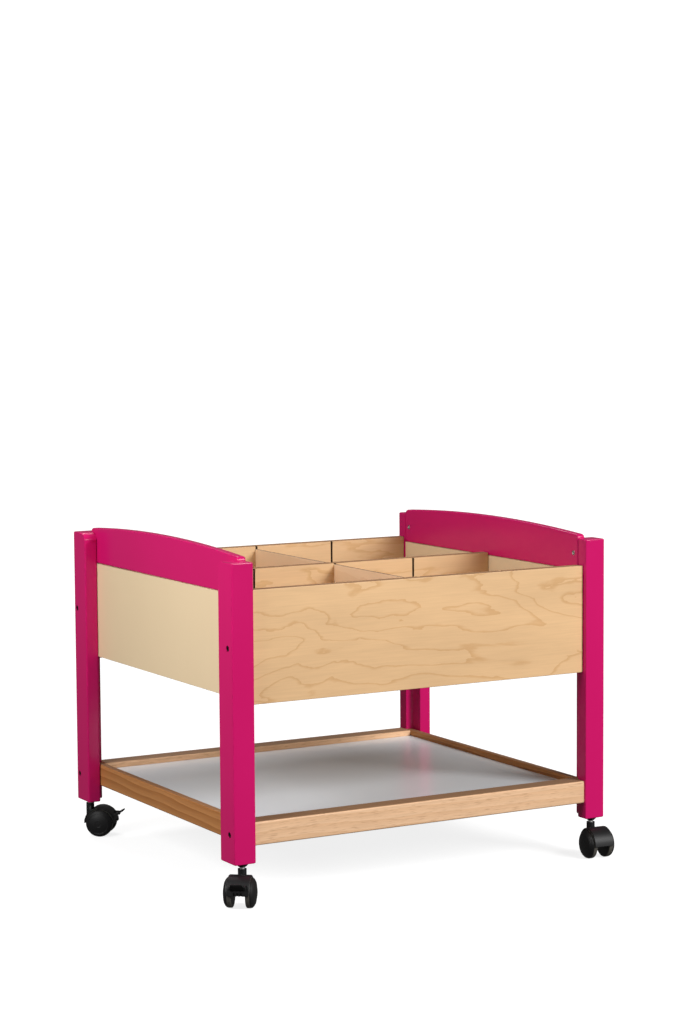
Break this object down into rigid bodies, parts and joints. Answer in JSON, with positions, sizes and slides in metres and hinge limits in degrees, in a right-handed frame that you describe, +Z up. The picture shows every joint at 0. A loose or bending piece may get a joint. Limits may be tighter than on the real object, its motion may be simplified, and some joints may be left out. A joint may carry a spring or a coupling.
{
  "type": "picture book browser bin",
  "caption": "Mobile library bin with a divided plywood book trough between arched pink end frames, a laminate shelf below and swivelling twin-wheel castors.",
  "frame": {"origin": "on the floor, under the middle of the four legs, which is the middle of the outline to a few millimetres", "axes": "+X along the long front to the right, +Y to the back, +Z up"},
  "size_m": [0.7474, 0.689, 0.555],
  "materials": {
    "pink_lacquer": "satin lacquer",
    "cream_board": "satin",
    "plywood": "clear satin lacquer",
    "beech": "clear satin lacquer",
    "divider_board": "clear satin lacquer",
    "laminate": "satin laminate",
    "steel": "satin",
    "dark_steel": "blackened",
    "black_plastic": "semi-matt",
    "tread": "semi-matt"
  },
  "bodies": {
    "frame": {"leg_front_left": "pink_lacquer", "screw_bin_front_left": "dark_steel", "screw_shelf_front_left": "dark_steel", "socket_front_left": "black_plastic", "stem_front_left": "steel", "leg_front_right": "pink_lacquer", "screw_bin_front_right": "dark_steel", "screw_shelf_front_right": "dark_steel", "socket_front_right": "black_plastic", "stem_front_right": "steel", "leg_back_left": "pink_lacquer", "screw_bin_back_left": "dark_steel", "screw_shelf_back_left": "dark_steel", "socket_back_left": "black_plastic", "stem_back_left": "steel", "leg_back_right": "pink_lacquer", "screw_bin_back_right": "dark_steel", "screw_shelf_back_right": "dark_steel", "socket_back_right": "black_plastic", "stem_back_right": "steel", "end_rail_left": "pink_lacquer", "end_panel_left": "cream_board", "screw_rail_front_left": "steel", "screw_rail_back_left": "steel", "shelf_rail_left": "beech", "end_rail_right": "pink_lacquer", "end_panel_right": "cream_board", "screw_rail_front_right": "steel", "screw_rail_back_right": "steel", "shelf_rail_right": "beech", "bin_front_panel": "plywood", "floor_cleat_front": "beech", "shelf_rail_front": "beech", "bin_back_panel": "plywood", "floor_cleat_back": "beech", "shelf_rail_back": "beech", "bin_middle_divider": "plywood", "bin_floor": "plywood", "shelf_board": "laminate"},
    "castor_front_left": {"hood_front_left": "black_plastic", "axle_front_left": "steel"},
    "wheel_a_front_left": {"wheel_a_front_left": "tread"},
    "wheel_b_front_left": {"wheel_b_front_left": "tread"},
    "brake_front_left": {"brake_lever_front_left": "black_plastic"},
    "castor_front_right": {"hood_front_right": "black_plastic", "axle_front_right": "steel"},
    "wheel_a_front_right": {"wheel_a_front_right": "tread"},
    "wheel_b_front_right": {"wheel_b_front_right": "tread"},
    "castor_back_left": {"hood_back_left": "black_plastic", "axle_back_left": "steel"},
    "wheel_a_back_left": {"wheel_a_back_left": "tread"},
    "wheel_b_back_left": {"wheel_b_back_left": "tread"},
    "brake_back_left": {"brake_lever_back_left": "black_plastic"},
    "castor_back_right": {"hood_back_right": "black_plastic", "axle_back_right": "steel"},
    "wheel_a_back_right": {"wheel_a_back_right": "tread"},
    "wheel_b_back_right": {"wheel_b_back_right": "tread"},
    "divider_front": {"cross_divider_front": "divider_board"},
    "divider_back": {"cross_divider_back": "divider_board"}
  },
  "joints": [
    {"name": "swivel_front_left", "type": "hinge", "parent": "frame", "child": "castor_front_left", "pos_m": [-0.331, -0.293, 0.065], "axis": [0, 0, 1], "continuous": true},
    {"name": "roll_a_front_left", "type": "hinge", "parent": "castor_front_left", "child": "wheel_a_front_left", "pos_m": [-0.34304, -0.30897, 0.024], "axis": [0.7986, -0.6018, 0], "continuous": true},
    {"name": "roll_b_front_left", "type": "hinge", "parent": "castor_front_left", "child": "wheel_b_front_left", "pos_m": [-0.34304, -0.30897, 0.024], "axis": [0.7986, -0.6018, 0], "continuous": true},
    {"name": "brake_front_left", "type": "hinge", "parent": "castor_front_left", "child": "brake_front_left", "pos_m": [-0.3597, -0.33108, 0.0375], "axis": [0.7986, -0.6018, 0], "range_deg": [0, 14]},
    {"name": "swivel_front_right", "type": "hinge", "parent": "frame", "child": "castor_front_right", "pos_m": [0.331, -0.293, 0.065], "axis": [0, 0, 1], "continuous": true},
    {"name": "roll_a_front_right", "type": "hinge", "parent": "castor_front_right", "child": "wheel_a_front_right", "pos_m": [0.32926, -0.31292, 0.024], "axis": [0.9962, -0.0872, 0], "continuous": true},
    {"name": "roll_b_front_right", "type": "hinge", "parent": "castor_front_right", "child": "wheel_b_front_right", "pos_m": [0.32926, -0.31292, 0.024], "axis": [0.9962, -0.0872, 0], "continuous": true},
    {"name": "swivel_back_left", "type": "hinge", "parent": "frame", "child": "castor_back_left", "pos_m": [-0.331, 0.293, 0.065], "axis": [0, 0, 1], "continuous": true},
    {"name": "roll_a_back_left", "type": "hinge", "parent": "castor_back_left", "child": "wheel_a_back_left", "pos_m": [-0.31524, 0.28069, 0.024], "axis": [0.6157, 0.788, 0], "continuous": true},
    {"name": "roll_b_back_left", "type": "hinge", "parent": "castor_back_left", "child": "wheel_b_back_left", "pos_m": [-0.31524, 0.28069, 0.024], "axis": [0.6157, 0.788, 0], "continuous": true},
    {"name": "brake_back_left", "type": "hinge", "parent": "castor_back_left", "child": "brake_back_left", "pos_m": [-0.29342, 0.26364, 0.0375], "axis": [0.6157, 0.788, 0], "range_deg": [0, 14]},
    {"name": "swivel_back_right", "type": "hinge", "parent": "frame", "child": "castor_back_right", "pos_m": [0.331, 0.293, 0.065], "axis": [0, 0, 1], "continuous": true},
    {"name": "roll_a_back_right", "type": "hinge", "parent": "castor_back_right", "child": "wheel_a_back_right", "pos_m": [0.34218, 0.30958, 0.024], "axis": [-0.829, 0.5592, 0], "continuous": true},
    {"name": "roll_b_back_right", "type": "hinge", "parent": "castor_back_right", "child": "wheel_b_back_right", "pos_m": [0.34218, 0.30958, 0.024], "axis": [-0.829, 0.5592, 0], "continuous": true},
    {"name": "lift_front_divider", "type": "slide", "parent": "frame", "child": "divider_front", "axis": [0, 0, 1], "range_m": [0, 0.16]},
    {"name": "lift_back_divider", "type": "slide", "parent": "frame", "child": "divider_back", "axis": [0, 0, 1], "range_m": [0, 0.16]}
  ]
}
